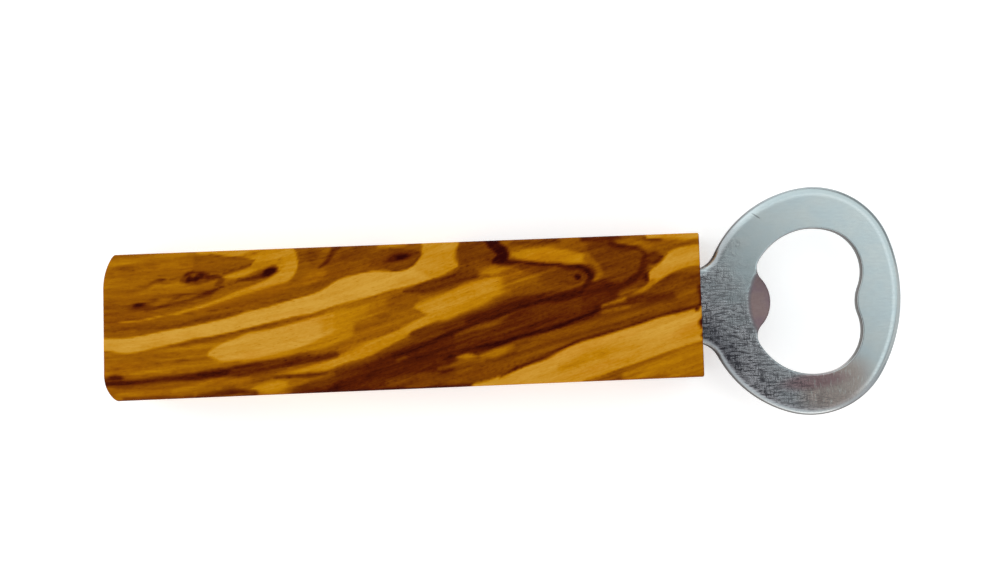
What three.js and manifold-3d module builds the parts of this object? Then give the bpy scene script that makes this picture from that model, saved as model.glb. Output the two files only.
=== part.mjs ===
// Souvenir bottle opener: a stamped steel opener head whose tang is glued into an olive wood handle.
// Millimetres, +Z up. The handle rests on its back face at Z = 0 and the opener head points along +X.
// The origin is on the resting plane, below the middle of the whole object.
import * as THREE from "three";
import { mergeVertices } from "three/addons/utils/BufferGeometryUtils.js";
import Module from "manifold-3d";

// ---- Driving dimensions. X positions are measured from the handle's head end. ----

const HANDLE = {
  length: 111.5, // butt to head end
  buttWidth: 27.2, // the slab narrows a little towards the head end
  headWidth: 26.8,
  thickness: 18,
  edge: 0.6, // eased long edges
};

// The butt is sanded by hand, so its two corners differ. setback: how far along the side a corner
// starts; drop: how far across the end it reaches; pull: the curve's control point, from both faces.
const BUTT = {
  upper: { setback: 2.7, drop: 6.0, pull: [0.75, 2.5] },
  lower: { setback: 2.2, drop: 4.6, pull: [0.1, 1.7] },
  skew: 0.5, // the upper end of the butt face stands this much nearer the head
};

const PLATE = {
  thickness: 2.2,
  edge: 0.35, // tumbled edges
  skewDeg: -1.5, // the head sits slightly crooked in the handle
  pivot: [22.5, -0.3], // the point of the head's centre line that it is turned about
};

// Outline of the ring: a back arc, two shoulder arcs and a flatter front arc, all tangent. The front of
// the outline is turned a little about the back arc's centre, so it is not quite square to the opening.
const RING = { backX: 23.4, backR: 21.9, shoulderR: 15.6, frontX: 9, frontR: 30, turnDeg: -3 };
const NECK = { width: 14, offset: -0.7, filletR: 5, rootX: -2.5 };
const TANG = { width: 12.4, length: 26, cornerR: 2.5, taper: 0.8, holeR: 2, holeX: [-9, -19] };

// Outline of the cap opening. Each circle touches the next one: the tongue that grips under the cap,
// the two small lobes beside it, the crown of the opening, the front lobes and the cap rest.
const TONGUE = { x: 7.9, r: 6.35, bendDeg: 12, rootX: 11.2, lap: 0.1 };
const BACK_LOBE = { x: 14.4, r: 2.8 };
const CROWN = { x: 22.4, y: 1.85 };
const FRONT_LOBE = { r: 8.15, fromCrownDeg: 75 };
const CAP_REST_X = 37.8;

// The mortise is routed, so its ends are round. The glue is set back a little from its mouth.
const MORTISE = { width: 17, height: 3.2, depth: 27.2, y: -0.3 };
const GLUE = { gap: 0.08, recess: 0.35 };

const ARC_STEPS = 14; // facets for each arc of an outline
const EDGE_STEPS = 2; // facets across an eased edge
const CUT_THROUGH = 2; // how far a cutter runs past the face that it opens
const SAME_POINT = 1e-3;

const COLOURS = { wood: 0xa8721c, steel: 0xb4bcbe, glue: 0xc9a75e };

// ---- Solids from geometries, with manifold-3d for cutting and joining. ----

const wasm = await Module();
wasm.setup();

function solidOf(geometry) {
  const bare = geometry.index ? geometry.toNonIndexed() : geometry.clone();
  bare.deleteAttribute("normal");
  bare.deleteAttribute("uv");
  const merged = mergeVertices(bare, 1e-4);
  const mesh = new wasm.Mesh({
    numProp: 3,
    vertProperties: merged.attributes.position.array,
    triVerts: new Uint32Array(merged.index.array),
  });
  return new wasm.Manifold(mesh);
}

function geometryOf(solid) {
  const mesh = solid.getMesh();
  const geometry = new THREE.BufferGeometry();
  geometry.setAttribute("position", new THREE.BufferAttribute(mesh.vertProperties, 3));
  geometry.setIndex(new THREE.BufferAttribute(mesh.triVerts, 1));
  geometry.computeVertexNormals();
  return geometry;
}

// Where two arcs join, each of them ends on a point of its own. This keeps one of the two.
function distinct(points) {
  const before = (i) => points[(i + points.length - 1) % points.length];
  return points.filter((point, i) => point.distanceTo(before(i)) > SAME_POINT);
}

// A slab with its plan in XY, centred on the height z, with eased edges.
function slab(shape, thickness, z, edge) {
  const { shape: outline, holes } = shape.extractPoints(ARC_STEPS);
  const plan = new THREE.Shape(distinct(outline));
  plan.holes = holes.map((hole) => new THREE.Path(distinct(hole)));
  const geometry = new THREE.ExtrudeGeometry(plan, {
    depth: thickness - 2 * edge,
    bevelEnabled: edge > 0,
    bevelSize: edge,
    bevelThickness: edge,
    bevelOffset: -edge,
    bevelSegments: EDGE_STEPS,
  });
  return geometry.translate(0, 0, z - thickness / 2 + edge);
}

// ---- Handle ----

function handleShape() {
  const { upper, lower, skew } = BUTT;
  const buttX = -HANDLE.length;
  const buttY = HANDLE.buttWidth / 2;
  const headY = HANDLE.headWidth / 2;
  const shape = new THREE.Shape();
  shape.moveTo(0, -headY);
  shape.lineTo(0, headY);
  shape.lineTo(buttX + upper.setback, buttY);
  shape.quadraticCurveTo(
    buttX + upper.pull[0],
    buttY - upper.pull[1],
    buttX + skew,
    buttY - upper.drop,
  );
  shape.lineTo(buttX, lower.drop - buttY);
  shape.quadraticCurveTo(
    buttX + lower.pull[0],
    lower.pull[1] - buttY,
    buttX + lower.setback,
    -buttY,
  );
  shape.closePath();
  return shape;
}

// A bar along X whose section has half-round ends, as a router leaves it.
function obroundBar(width, height, fromX, toX) {
  const r = height / 2;
  const y = width / 2 - r;
  const shape = new THREE.Shape();
  shape.absarc(y, 0, r, -Math.PI / 2, Math.PI / 2, false);
  shape.absarc(-y, 0, r, Math.PI / 2, (3 * Math.PI) / 2, false);
  shape.closePath();
  const bar = new THREE.ExtrudeGeometry(shape, {
    depth: toX - fromX,
    curveSegments: ARC_STEPS,
    bevelEnabled: false,
  });
  bar.rotateX(Math.PI / 2).rotateZ(Math.PI / 2);
  return bar.translate(fromX, MORTISE.y, HANDLE.thickness / 2);
}

function makeHandle() {
  const blank = slab(handleShape(), HANDLE.thickness, HANDLE.thickness / 2, HANDLE.edge);
  const mortise = obroundBar(MORTISE.width, MORTISE.height, -MORTISE.depth, CUT_THROUGH);
  return geometryOf(solidOf(blank).subtract(solidOf(mortise)));
}

// ---- Opener head, drawn about the ring's centre line ----

const angleOf = (from, to) => Math.atan2(to.y - from.y, to.x - from.x);

// The shoulder circle touches the back and front circles from inside.
function shoulderCircle() {
  const { backX, backR, shoulderR, frontX, frontR } = RING;
  const toBack = backR - shoulderR;
  const toFront = frontR - shoulderR;
  const x = (toBack ** 2 - toFront ** 2 + frontX ** 2 - backX ** 2) / (2 * (frontX - backX));
  return { x, y: Math.sqrt(toBack ** 2 - (x - backX) ** 2), r: shoulderR };
}

// The fillet between a neck edge at height y and the back arc; side is +1 above, -1 below.
function neckFillet(side) {
  const r = NECK.filletR;
  const edgeY = NECK.offset + (side * NECK.width) / 2;
  const y = edgeY + side * r;
  return { x: RING.backX - Math.sqrt((RING.backR + r) ** 2 - y ** 2), y, r, edgeY };
}

// A circle of the outline, turned with the ring's front about the back arc's centre.
function turned(circle) {
  const turn = THREE.MathUtils.degToRad(RING.turnDeg);
  const centre = new THREE.Vector2(RING.backX, 0);
  const moved = new THREE.Vector2(circle.x, circle.y).rotateAround(centre, turn);
  return { x: moved.x, y: moved.y, r: circle.r };
}

function headOutline(grow = 0) {
  const back = { x: RING.backX, y: 0 };
  const front = turned({ x: RING.frontX, y: 0, r: RING.frontR });
  const corner = shoulderCircle();
  const left = turned(corner);
  const right = turned({ ...corner, y: -corner.y });
  const lower = neckFillet(-1);
  const upper = neckFillet(1);
  const tangTop = NECK.offset + TANG.width / 2 + grow;
  const tangBottom = NECK.offset - TANG.width / 2 - grow;
  const tangR = TANG.cornerR;
  const cornerX = tangR - TANG.length - grow;
  const root = NECK.rootX;
  const shape = new THREE.Shape();
  shape.moveTo(cornerX, tangBottom);
  shape.lineTo(root - TANG.taper, tangBottom);
  shape.lineTo(root, lower.edgeY - grow);
  shape.absarc(lower.x, lower.y, lower.r - grow, Math.PI / 2, angleOf(lower, back), true);
  shape.absarc(back.x, 0, RING.backR + grow, angleOf(back, lower), angleOf(back, right), false);
  shape.absarc(right.x, right.y, right.r + grow, angleOf(back, right), angleOf(front, right), false);
  shape.absarc(front.x, front.y, front.r + grow, angleOf(front, right), angleOf(front, left), false);
  shape.absarc(left.x, left.y, left.r + grow, angleOf(front, left), angleOf(back, left), false);
  shape.absarc(back.x, 0, RING.backR + grow, angleOf(back, left), angleOf(back, upper), false);
  shape.absarc(upper.x, upper.y, upper.r - grow, angleOf(upper, back), -Math.PI / 2, true);
  shape.lineTo(root, upper.edgeY + grow);
  shape.lineTo(root - TANG.taper, tangTop);
  shape.lineTo(cornerX, tangTop);
  shape.absarc(cornerX, tangTop - tangR, tangR, Math.PI / 2, Math.PI, false);
  shape.absarc(cornerX, tangBottom + tangR, tangR, Math.PI, (3 * Math.PI) / 2, false);
  return shape;
}

function tangHoles(grow = 0) {
  return TANG.holeX.map((x) => {
    const hole = new THREE.Path();
    hole.absarc(x, NECK.offset, TANG.holeR - grow, 0, 2 * Math.PI, true);
    return hole;
  });
}

// The circles that make up the upper half of the cap opening, from the tongue to the cap rest.
function openingCircles() {
  const tongue = { x: TONGUE.x, y: 0, r: TONGUE.r };
  const lobeY = Math.sqrt((TONGUE.r + BACK_LOBE.r) ** 2 - (BACK_LOBE.x - TONGUE.x) ** 2);
  const backLobe = { x: BACK_LOBE.x, y: lobeY, r: BACK_LOBE.r };
  const reach = Math.hypot(CROWN.x - backLobe.x, CROWN.y - backLobe.y);
  const crown = { x: CROWN.x, y: CROWN.y, r: BACK_LOBE.r + reach };
  const turn = THREE.MathUtils.degToRad(FRONT_LOBE.fromCrownDeg);
  const frontLobe = {
    x: crown.x + (crown.r - FRONT_LOBE.r) * Math.cos(turn),
    y: crown.y + (crown.r - FRONT_LOBE.r) * Math.sin(turn),
    r: FRONT_LOBE.r,
  };
  const restR = Math.hypot(CAP_REST_X - frontLobe.x, frontLobe.y) - FRONT_LOBE.r;
  return { tongue, backLobe, crown, frontLobe, capRest: { x: CAP_REST_X, y: 0, r: restR } };
}

// The opening without its tongue, whose root is a straight line between the back lobes.
function openingPath() {
  const { backLobe, crown, frontLobe, capRest } = openingCircles();
  const crownStart = angleOf(crown, backLobe);
  const crownEnd = angleOf(crown, frontLobe);
  const restAngle = angleOf(capRest, frontLobe);
  const path = new THREE.Path();
  path.absarc(backLobe.x, backLobe.y, backLobe.r, Math.PI, crownStart, true);
  path.absarc(crown.x, crown.y, crown.r, crownStart, crownEnd, true);
  path.absarc(frontLobe.x, frontLobe.y, frontLobe.r, crownEnd, restAngle - Math.PI, true);
  path.absarc(capRest.x, 0, capRest.r, restAngle, 2 * Math.PI - restAngle, false);
  path.absarc(frontLobe.x, -frontLobe.y, frontLobe.r, Math.PI - restAngle, -crownEnd, true);
  path.absarc(crown.x, -crown.y, crown.r, -crownEnd, -crownStart, true);
  path.absarc(backLobe.x, -backLobe.y, backLobe.r, -crownStart, -Math.PI, true);
  path.closePath();
  return path;
}

// The tongue, bent down out of the plate so that it hooks under the rim of a cap.
function tongueSolid(z) {
  const { tongue, backLobe } = openingCircles();
  const lobeAngle = angleOf(tongue, backLobe);
  const rootX = TONGUE.rootX - TONGUE.lap;
  const shape = new THREE.Shape();
  shape.absarc(backLobe.x, -backLobe.y, backLobe.r, Math.PI, Math.PI - lobeAngle, true);
  shape.absarc(tongue.x, 0, tongue.r, -lobeAngle, lobeAngle, false);
  shape.absarc(backLobe.x, backLobe.y, backLobe.r, lobeAngle - Math.PI, -Math.PI, true);
  shape.lineTo(rootX, backLobe.y);
  shape.lineTo(rootX, -backLobe.y);
  shape.closePath();
  const tab = slab(shape, PLATE.thickness, 0, 0);
  tab.translate(-TONGUE.rootX, 0, 0);
  tab.rotateY(THREE.MathUtils.degToRad(TONGUE.bendDeg));
  return solidOf(tab.translate(TONGUE.rootX, 0, z));
}

function makeHead() {
  const z = HANDLE.thickness / 2;
  const shape = headOutline();
  shape.holes.push(openingPath(), ...tangHoles());
  const plate = solidOf(slab(shape, PLATE.thickness, z, PLATE.edge));
  return geometryOf(plate.add(tongueSolid(z)));
}

// ---- Glue: fills the mortise round the tang and keys through the tang's two holes ----

// Turns a solid drawn about the head's centre line to where the head sits in the handle.
function seated(solid) {
  const [x, y] = PLATE.pivot;
  return solid.translate([-x, 0, 0]).rotate([0, 0, PLATE.skewDeg]).translate([x, y, 0]);
}

function makeGlue() {
  const { gap, recess } = GLUE;
  const width = MORTISE.width - 2 * gap;
  const height = MORTISE.height - 2 * gap;
  const fill = obroundBar(width, height, gap - MORTISE.depth, -recess);
  const tang = headOutline(gap);
  tang.holes.push(...tangHoles(gap));
  const room = slab(tang, PLATE.thickness + 2 * gap, HANDLE.thickness / 2, 0);
  return geometryOf(solidOf(fill).subtract(seated(solidOf(room))));
}

// ---- Assembly ----

function meshOf(name, geometry, colour, roughness, metalness) {
  const material = new THREE.MeshStandardMaterial({ color: colour, roughness, metalness });
  const mesh = new THREE.Mesh(geometry, material);
  mesh.name = name;
  return mesh;
}

// The head is drawn about its own centre line, then turned and set in the handle.
function placedHead() {
  const [x, y] = PLATE.pivot;
  const head = meshOf("opener_head", makeHead(), COLOURS.steel, 0.35, 1);
  head.geometry.translate(-x, 0, 0);
  head.position.set(x, y, 0);
  head.rotation.z = THREE.MathUtils.degToRad(PLATE.skewDeg);
  return head;
}

const opener = new THREE.Group();
opener.add(
  meshOf("handle", makeHandle(), COLOURS.wood, 0.45, 0),
  meshOf("adhesive", makeGlue(), COLOURS.glue, 0.25, 0),
  placedHead(),
);

// The origin lies below the middle of the whole object, on the plane it rests on.
const middle = new THREE.Box3().setFromObject(opener, true).getCenter(new THREE.Vector3());
opener.position.set(-middle.x, -middle.y, 0);

export default opener;
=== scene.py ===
"""Looks of the souvenir bottle opener: an olive wood handle and a stamped, plated steel opener head.

Lengths are in millimetres and become metres when a mesh is made. The handle's outline and figure are
drawn from its head end, and the opener head about its own centre line, as in the CAD model.
"""

import math

import bpy
import numpy as np
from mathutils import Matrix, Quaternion, Vector
from mathutils.geometry import delaunay_2d_cdt


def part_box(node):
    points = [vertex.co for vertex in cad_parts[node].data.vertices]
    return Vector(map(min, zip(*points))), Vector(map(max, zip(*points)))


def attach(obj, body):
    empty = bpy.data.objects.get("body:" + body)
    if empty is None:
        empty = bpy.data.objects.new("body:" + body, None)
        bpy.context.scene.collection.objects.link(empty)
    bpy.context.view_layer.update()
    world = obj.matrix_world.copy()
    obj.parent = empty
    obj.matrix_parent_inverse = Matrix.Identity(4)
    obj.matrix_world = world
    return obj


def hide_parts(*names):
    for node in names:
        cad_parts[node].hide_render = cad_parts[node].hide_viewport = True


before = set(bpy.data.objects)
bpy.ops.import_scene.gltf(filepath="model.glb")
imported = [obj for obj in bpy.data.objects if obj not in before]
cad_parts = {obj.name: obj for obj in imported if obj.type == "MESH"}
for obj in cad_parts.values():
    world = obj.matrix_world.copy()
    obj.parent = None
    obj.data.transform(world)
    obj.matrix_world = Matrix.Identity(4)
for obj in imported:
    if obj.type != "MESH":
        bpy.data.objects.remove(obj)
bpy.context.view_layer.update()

MM = 0.001
handle_low, handle_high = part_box("handle")
ORIGIN_X = handle_high.x / MM  # the handle's head end
ORIGIN_Y = (handle_low.y + handle_high.y) / 2 / MM
THICKNESS = handle_high.z / MM
MID_Z = THICKNESS / 2

# ---- Handle ----

LENGTH = (handle_high.x - handle_low.x) / MM
BUTT_WIDTH = (handle_high.y - handle_low.y) / MM
HEAD_WIDTH = 26.8
EDGE = (0.3, 0.6, 0.6)  # how far the rounded edges reach along X, Y and Z
EDGE_SHARES = (0.0, 0.12, 0.3, 0.55, 0.8, 1.0)  # grid lines over a rounded edge
CELLS = (280, 72, 56)  # between the rounded edges, along X, Y and Z

# The two corners of the butt, as in the CAD model: setback, drop and the curve's control point.
UPPER_CORNER = (2.7, 6.0, (0.75, 2.5))
LOWER_CORNER = (2.2, 4.6, (0.1, 1.7))
BUTT_SKEW = 0.5
CORNER_SAMPLES = 40

MORTISE_WIDTH, MORTISE_HEIGHT, MORTISE_DEPTH, MORTISE_Y = 17.0, 3.2, 27.2, -0.3
MORTISE_STEPS, MORTISE_OVERSHOOT = 12, 2.0

# ---- Opener head ----

PLATE_THICKNESS = 2.2
SKEW_DEG = -1.5
PIVOT = (22.5, -0.3)
OUTLINE_INSET = 0.006  # keeps the smooth outline inside the CAD box, whose arcs are faceted
TOP_EDGE, TOP_EDGE_DEPTH, BOTTOM_EDGE, OPENING_EDGE = 1.7, 0.6, 0.5, 0.25
EDGE_STEPS = 8
CAP_INSET = 0.18
PLATE_GRID, TONGUE_GRID, GRID_CLEARANCE = 0.9, 0.35, 0.55  # the last is a share of the spacing

# Marks on steep faces, for the painted shade on the walls and far rim and the painted highlight on the
# rolled rim: the Z of a face's normal below which each one starts, and how much lower it is full
SHADED_SIDE = (-0.7, -0.7)  # the lower left, where the walls are darkest and are marked sooner by WALL_LEAN
WALL_STEEPNESS, WALL_LEAN, WALL_FADE = 0.90, 0.075, 0.15
RIM_START, RIM_FADE = 0.998, 0.04
FAR_RIM_START, FAR_RIM_FADE = 0.9998, 0.006

RING_BACK_X, RING_BACK_R, RING_SHOULDER_R = 23.4, 21.9, 15.6
RING_FRONT_X, RING_FRONT_R, RING_TURN_DEG = 9.0, 30.0, -3.0
NECK_WIDTH, NECK_OFFSET, NECK_FILLET_R, NECK_ROOT_X = 14.0, -0.7, 5.0, -2.5
TANG_WIDTH, TANG_LENGTH, TANG_CORNER_R, TANG_TAPER = 12.4, 26.0, 2.5, 0.8
TANG_HOLE_R, TANG_HOLES_X, TANG_HOLE_SIDES = 2.0, (-9.0, -19.0), 28

TONGUE_MARGIN, TONGUE_PAD = 0.3, 1  # how far past the tongue its bend and its fine grid reach
TONGUE_X, TONGUE_R, TONGUE_BEND_DEG, TONGUE_BEND_LENGTH = 7.9, 6.35, 12.0, 0.8
TONGUE_ROOT_X, TONGUE_ROOT_BOW, TONGUE_HALF_WIDTH, TONGUE_END_X = 9.6, 1.9, 6.2, 15.0
LOBE_X, LOBE_R = 14.4, 2.8
CROWN_X, CROWN_Y = 22.4, 1.85
FRONT_LOBE_R, FRONT_LOBE_DEG = 8.15, 75.0
CAP_REST_X = 37.8

NOISE_CELLS = 64
NOISE_OFFSET = 1000.0  # added so that a place never falls below the first cell

# ---- Noise ----

def ease(t):
    t = np.clip(t, 0.0, 1.0)
    return t * t * (3.0 - 2.0 * t)


def drift(place, size, seed):
    """Smooth noise from -1 to 1, whose features are about size across on each axis."""
    table = np.random.default_rng(seed).uniform(-1.0, 1.0, (NOISE_CELLS,) * 3)
    whole, part = [], []
    for value, step in zip(place, size):
        scaled = np.asarray(value, float) / step + NOISE_OFFSET
        floor = np.floor(scaled)
        whole.append(floor.astype(int))
        part.append(ease(scaled - floor))
    total = 0.0
    for corner in np.ndindex(2, 2, 2):
        weight = 1.0
        for share, side in zip(part, corner):
            weight = weight * (share if side else 1.0 - share)
        index = tuple((w + side) % NOISE_CELLS for w, side in zip(whole, corner))
        total = total + weight * table[index]
    return total


def through(points, x):
    """A smooth curve through (x, y) points, which are in rising x."""
    px, py = np.array(points, float).T
    slope = np.gradient(py, px) if len(px) > 2 else np.full(2, np.diff(py) / np.diff(px))
    i = np.clip(np.searchsorted(px, x) - 1, 0, len(px) - 2)
    span = px[i + 1] - px[i]
    t = np.clip((x - px[i]) / span, 0.0, 1.0)
    ahead = ease(t)
    leave = t * (1 - t) ** 2
    arrive = t * t * (t - 1)
    return py[i] + ahead * (py[i + 1] - py[i]) + span * (leave * slope[i] + arrive * slope[i + 1])


def curve(points, steps=6):
    """Points along a smooth open curve through the given ones."""
    p = np.array(points, float)
    if len(p) < 3:
        return p
    p = np.vstack([2 * p[0] - p[1], p, 2 * p[-1] - p[-2]])
    t = np.arange(steps)[:, None] / steps
    pieces = []
    for a, b, c, d in zip(p, p[1:], p[2:], p[3:]):
        bend = 2 * b + (c - a) * t + (2 * a - 5 * b + 4 * c - d) * t**2
        pieces.append((bend + (3 * b - a - 3 * c + d) * t**3) / 2)
    return np.vstack(pieces + [p[-2]])


class Board:
    """Wood tone over the top face: each stroke is laid over the ones before it."""

    def __init__(self, x, y, tone):
        self.x, self.y, self.tone = x, y, tone

    def lay(self, mask, tone):
        self.tone = self.tone + mask * (tone - self.tone)

    def band(self, tone, soft, rows, strength=1.0):
        """An area between two edges; each row is x, the lower y and the upper y."""
        low = through([(x, a) for x, a, b in rows], self.x)
        high = through([(x, b) for x, a, b in rows], self.x)
        inside = np.minimum(self.y - low, high - self.y)
        ends = np.minimum(self.x - rows[0][0], rows[-1][0] - self.x)
        mask = ease(inside / soft + 0.5) * ease(ends / soft + 0.5) * ease((high - low) / soft)
        self.lay(mask * strength, tone)

    def line(self, tone, width, points, soft=0.5, strength=1.0):
        """A stroke along a curve; each point is x, y and the share of the width there."""
        path = curve([(p + (1.0,))[:3] for p in points])
        inside = np.full(self.x.shape, -np.inf)
        for (ax, ay, aw), (bx, by, bw) in zip(path, path[1:]):
            ux, uy = bx - ax, by - ay
            t = np.clip(((self.x - ax) * ux + (self.y - ay) * uy) / (ux * ux + uy * uy), 0, 1)
            away = np.hypot(self.x - ax - t * ux, self.y - ay - t * uy)
            inside = np.maximum(inside, width * (aw + (bw - aw) * t) / 2 - away)
        self.lay(ease(inside / soft + 0.5) * strength, tone)

    def spot(self, tone, centre, size, tilt=0.0, soft=0.5, strength=1.0):
        """An oval, with its half length and half width as its size."""
        c, s = math.cos(math.radians(tilt)), math.sin(math.radians(tilt))
        dx, dy = self.x - centre[0], self.y - centre[1]
        reach = np.hypot((dx * c + dy * s) / size[0], (dy * c - dx * s) / size[1])
        inside = (1.0 - reach) * min(size)
        self.lay(ease(inside / soft + 0.5) * strength, tone)


# ---- The figure of the wood on the top face ----
# The strokes were placed, and some were corrected against tones read off the photo.
# Tones: 0 near black, 0.15 dark red-brown, 0.35 brown, 0.55 mid brown, 0.78 orange, 1 pale gold.
# X is 0 at the head end and negative towards the butt, and Y is 0 on the centre line, in millimetres.

def lay_ground(band, line, spot):
    band(0.57, 3.0, [(-114, 5, 15), (-98, 6, 15), (-84, 9, 15)])
    band(0.43, 1.6, [(-114, -2, 3.2), (-96, -0.6, 3.6), (-84, 2, 8), (-70, 6, 10), (-62, 8, 11)])
    band(0.53, 1.2, [(-94, 2.6, 4.4), (-84, 4.6, 6.6), (-76, 6, 8)])
    band(0.58, 1.0, [(-114, -9, -4), (-98, -9, -3.4), (-84, -7, -1)])
    band(0.55, 1.0, [(-114, -15, -10.6), (-96, -15, -10), (-84, -15, -9), (-76, -15, -8)])
    band(0.42, 1.6, [(-77, 8, 15), (-68, 7.6, 15), (-58, 8, 15), (-48, 9, 15)])
    band(0.52, 2.0, [(-72, -6, 1), (-64, -6, 4), (-56, -4, 5), (-50, -1, 5)])
    band(0.43, 1.0, [(-78, -15, -9), (-70, -15, -9), (-62, -15, -7)])
    band(0.2, 1.4, [(-77, -15, -12.8), (-72, -15, -10.5), (-60, -15, -7), (-46, -15, -1),
        (-34, -15, 3.4), (-20, -15, 6), (-8, -15, 6), (2, -15, 6)])
    band(0.37, 1.4, [(-56, -15, -9.5), (-44, -15, -8), (-32, -15, -4.6), (-20, -15, -1.8), (-8, -15, 1),
        (2, -15, 5)])
    band(0.33, 1.0, [(-37, 4, 9), (-28, 3, 9), (-19, 3, 9)])
    band(0.45, 1.0, [(-37, 10, 15), (-22, 10, 15), (-9, 11, 15)])
    band(0.29, 1.4, [(-21, 2, 12.4), (-15, 1.6, 12), (-9.5, 1.6, 10)])
    band(0.35, 1.2, [(-17, 0.4, 4), (-8, 0.4, 4), (2, -0.4, 7.6)])


def lay_pale_bands(band, line, spot):
    # The main one runs up from the butt and opens out at the upper edge.
    band(0.96, 0.5, [(-114, -4.0, -1.9), (-104, -4.5, -1.7), (-100, -3.7, -0.9), (-92, -2.2, 0.4),
        (-84, -0.8, 2.2), (-76, 0.6, 4), (-71, 1.8, 5.4), (-67, 2.7, 7.4), (-60, 4.4, 8.6),
        (-56, 5.2, 8.8), (-52, 6.2, 9.6), (-49, 7.2, 10.6), (-45.2, 8.9, 11)])
    band(0.84, 0.9, [(-53, 8.6, 9.4), (-51.8, 8, 12.4), (-51, 7.4, 15), (-47, 8, 15.4),
        (-45.6, 8.8, 15.4), (-44.2, 11.4, 15.6)])
    line(0.47, 0.8, [(-100, -4.1, 0.4), (-92, -2.8, 0.8), (-84, -1.3), (-76, 0.2), (-68, 1.8), (-62, 3)])
    band(0.5, 0.8, [(-63, 2.6, 3.6), (-58, 2.4, 4.5), (-54, 1.4, 5.2)], strength=0.8)
    band(0.7, 2.0, [(-70, -3, 1), (-64, -0.4, 2.4), (-58.6, 1.8, 3.4)], strength=0.8)
    band(0.72, 1.0, [(-86, -7.3, -6.4), (-80, -6.9, -5.6), (-74, -6.0, -4.2), (-69, -4.8, -2.4),
        (-65, -3, -1)])
    band(0.92, 0.8, [(-91.8, -5.8, -5.2), (-89.6, -6.7, -3.9), (-87, -6.9, -2.7), (-82, -6.4, -1.5),
        (-76, -5.2, -0.3), (-71, -3.4, 0.7), (-68.5, -2, 1)])
    band(0.8, 1.8, [(-71, -3.6, 0.8), (-68, -2.2, 1.3), (-65, -0.4, 1.9), (-62, 1, 2.4)], strength=0.8)
    # The thin one passes below the knots and loops back to the edge.
    line(0.82, 1.0, [(-108, 1, 0.2), (-100, 1.8, 0.3), (-95, 2.8, 0.35), (-91, 4.0, 0.7), (-86, 5.4),
        (-82, 6.7, 1.3), (-78, 8.1, 2.2), (-76.4, 10.2, 3.0), (-77, 13.8, 3.4)])
    line(0.8, 1.0, [(-93, 13.3, 0.8), (-87, 13, 1.6), (-82, 12.4, 2.6), (-78, 12.8, 2.4)])
    spot(0.7, (-83, 12.7), (1.2, 0.5))


def lay_knots_at_the_butt(band, line, spot):
    spot(0.64, (-98, 11.2), (3.2, 1.0), soft=1.6, strength=0.8)
    spot(0.63, (-108, 12), (2.4, 0.9), soft=1.6, strength=0.8)
    spot(0.42, (-106.5, 10.9), (1.6, 0.5), soft=0.9)
    line(0.44, 0.9, [(-110, 0.6), (-104, 0.2), (-96, 1.2)], soft=0.9)
    line(0.37, 0.5, [(-110.5, 6.6, 0.5), (-106, 6.8), (-103, 7.4), (-101.5, 8.2), (-99.6, 8.7)], soft=0.7)
    spot(0.24, (-100, 8.6), (0.8, 0.35))
    # The first knot, with a line that climbs away from it
    line(0.33, 0.5, [(-112, 4), (-108.5, 3.9), (-105, 4), (-102.5, 4.5), (-101, 4.9)], soft=0.7)
    line(0.2, 0.6, [(-103, 3), (-99, 4, 0.8), (-95, 4.6, 0.8), (-91.4, 5.7, 1.5), (-89, 6.7, 0.6)])
    spot(0.3, (-97.3, 5.1), (1.2, 0.3), tilt=24)
    spot(0.18, (-104, 3.8), (2.1, 0.75), tilt=5, soft=0.9)
    spot(0, (-104.3, 4.0), (1.1, 0.42), tilt=8)
    # The second is a ring of small dark marks
    spot(0.3, (-93.7, 9.1), (2.5, 1.05), tilt=4, soft=0.8)
    line(0.14, 0.6, [(-96.2, 8.7, 0.6), (-95.2, 9.6), (-93.4, 10), (-91.6, 9.3)])
    line(0.25, 0.6, [(-96.4, 8.1, 0.6), (-94, 7.8), (-92, 8.1), (-90.2, 8.6)])
    for x, y, r in ((-95, 8.5, 0.7), (-93.9, 8.6, 0.6), (-92.9, 9.2, 0.7)):
        spot(0.05, (x, y), (r, 0.5), tilt=30)
    spot(0.45, (-94.3, 9.2), (0.35, 0.25))
    line(0.36, 0.5, [(-98.4, 8.5), (-97.2, 8.9), (-96.2, 8.7)])
    line(0.2, 1.0, [(-91.6, 8.7), (-90.2, 8.9, 0.9), (-88.8, 8.4, 0.6)], soft=0.7)
    spot(0.27, (-89.4, 7.8), (1.0, 0.5), tilt=30)
    spot(0.15, (-88.8, 6.9), (0.5, 0.3))
    # Brown fingers that lie between the pale lines above the third knot
    band(0.47, 0.7, [(-94, 10, 13), (-88, 9.5, 12.4), (-85, 10.2, 12), (-82.4, 11, 11.4)])
    line(0.34, 0.35, [(-91, 12.8), (-88, 12.3), (-84, 11.9), (-82.5, 11.2), (-84, 10.5), (-88.6, 9.4)])
    band(0.8, 0.5, [(-88.8, 8.4, 8.8), (-86, 8.4, 9.5), (-84, 8.9, 10.2), (-82, 9.8, 10.9),
        (-80, 10.6, 12.2)])
    line(0.46, 0.9, [(-87.4, 7.2, 0.6), (-84.4, 7.6), (-81.4, 8.2, 0.5)])
    line(0.2, 0.6, [(-86, 8.0, 0.5), (-83.4, 8.2), (-81.4, 8.7, 1.4)])
    line(0.77, 2.0, [(-82.4, 10.5, 0.7), (-80.2, 11.1), (-78.4, 10.5)])
    spot(0, (-80.0, 9.4), (1.45, 0.78), tilt=28)
    line(0.36, 0.5, [(-92, 2), (-88, 3), (-83, 4), (-76, 5.2)], soft=0.7)
    line(0.56, 1.0, [(-88, 4.3, 0.5), (-82, 5.4), (-75, 7)], soft=0.9)
    line(0.33, 0.4, [(-105, -0.9), (-99, -0.2), (-92, 1.3), (-85, 2.9)], soft=0.6)
    line(0.36, 0.35, [(-103, 2.2), (-97, 3.5), (-91, 5)], soft=0.5)


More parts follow.
